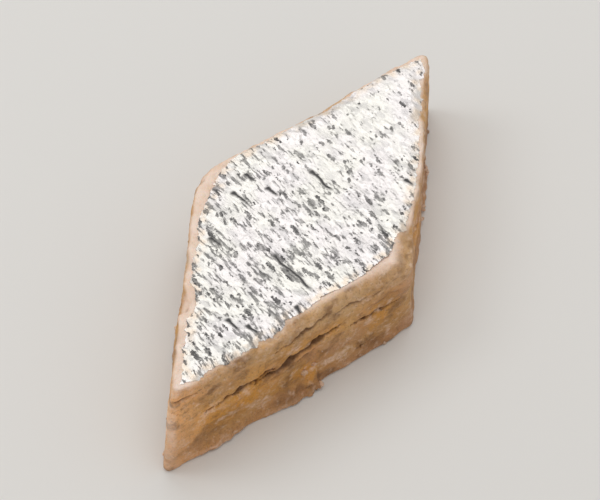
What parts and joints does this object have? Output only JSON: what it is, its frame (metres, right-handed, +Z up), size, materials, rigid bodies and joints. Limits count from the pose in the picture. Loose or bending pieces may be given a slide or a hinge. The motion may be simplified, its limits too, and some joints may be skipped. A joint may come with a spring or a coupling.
{
  "type": "kaju barfi",
  "caption": "Lozenge-cut cashew paste sweet with soft knife-cut sides, a folded seam at half height and a sheet of edible silver leaf on top.",
  "frame": {"origin": "under the middle of the piece's box, on the surface that it rests on", "axes": "+X along the long diagonal, from the front tip at -X to the back tip; +Y along the short diagonal, towards the blunt corner; +Z up, through the thickness"},
  "size_m": [0.0736, 0.0332, 0.0143],
  "materials": {
    "cashew_paste": "matte, slightly oily paste with cut faces",
    "silver_leaf": "beaten silver leaf, wrinkled, with dark specks"
  },
  "bodies": {
    "root": {"cashew_paste": "cashew_paste", "silver_leaf": "silver_leaf"}
  },
  "joints": []
}
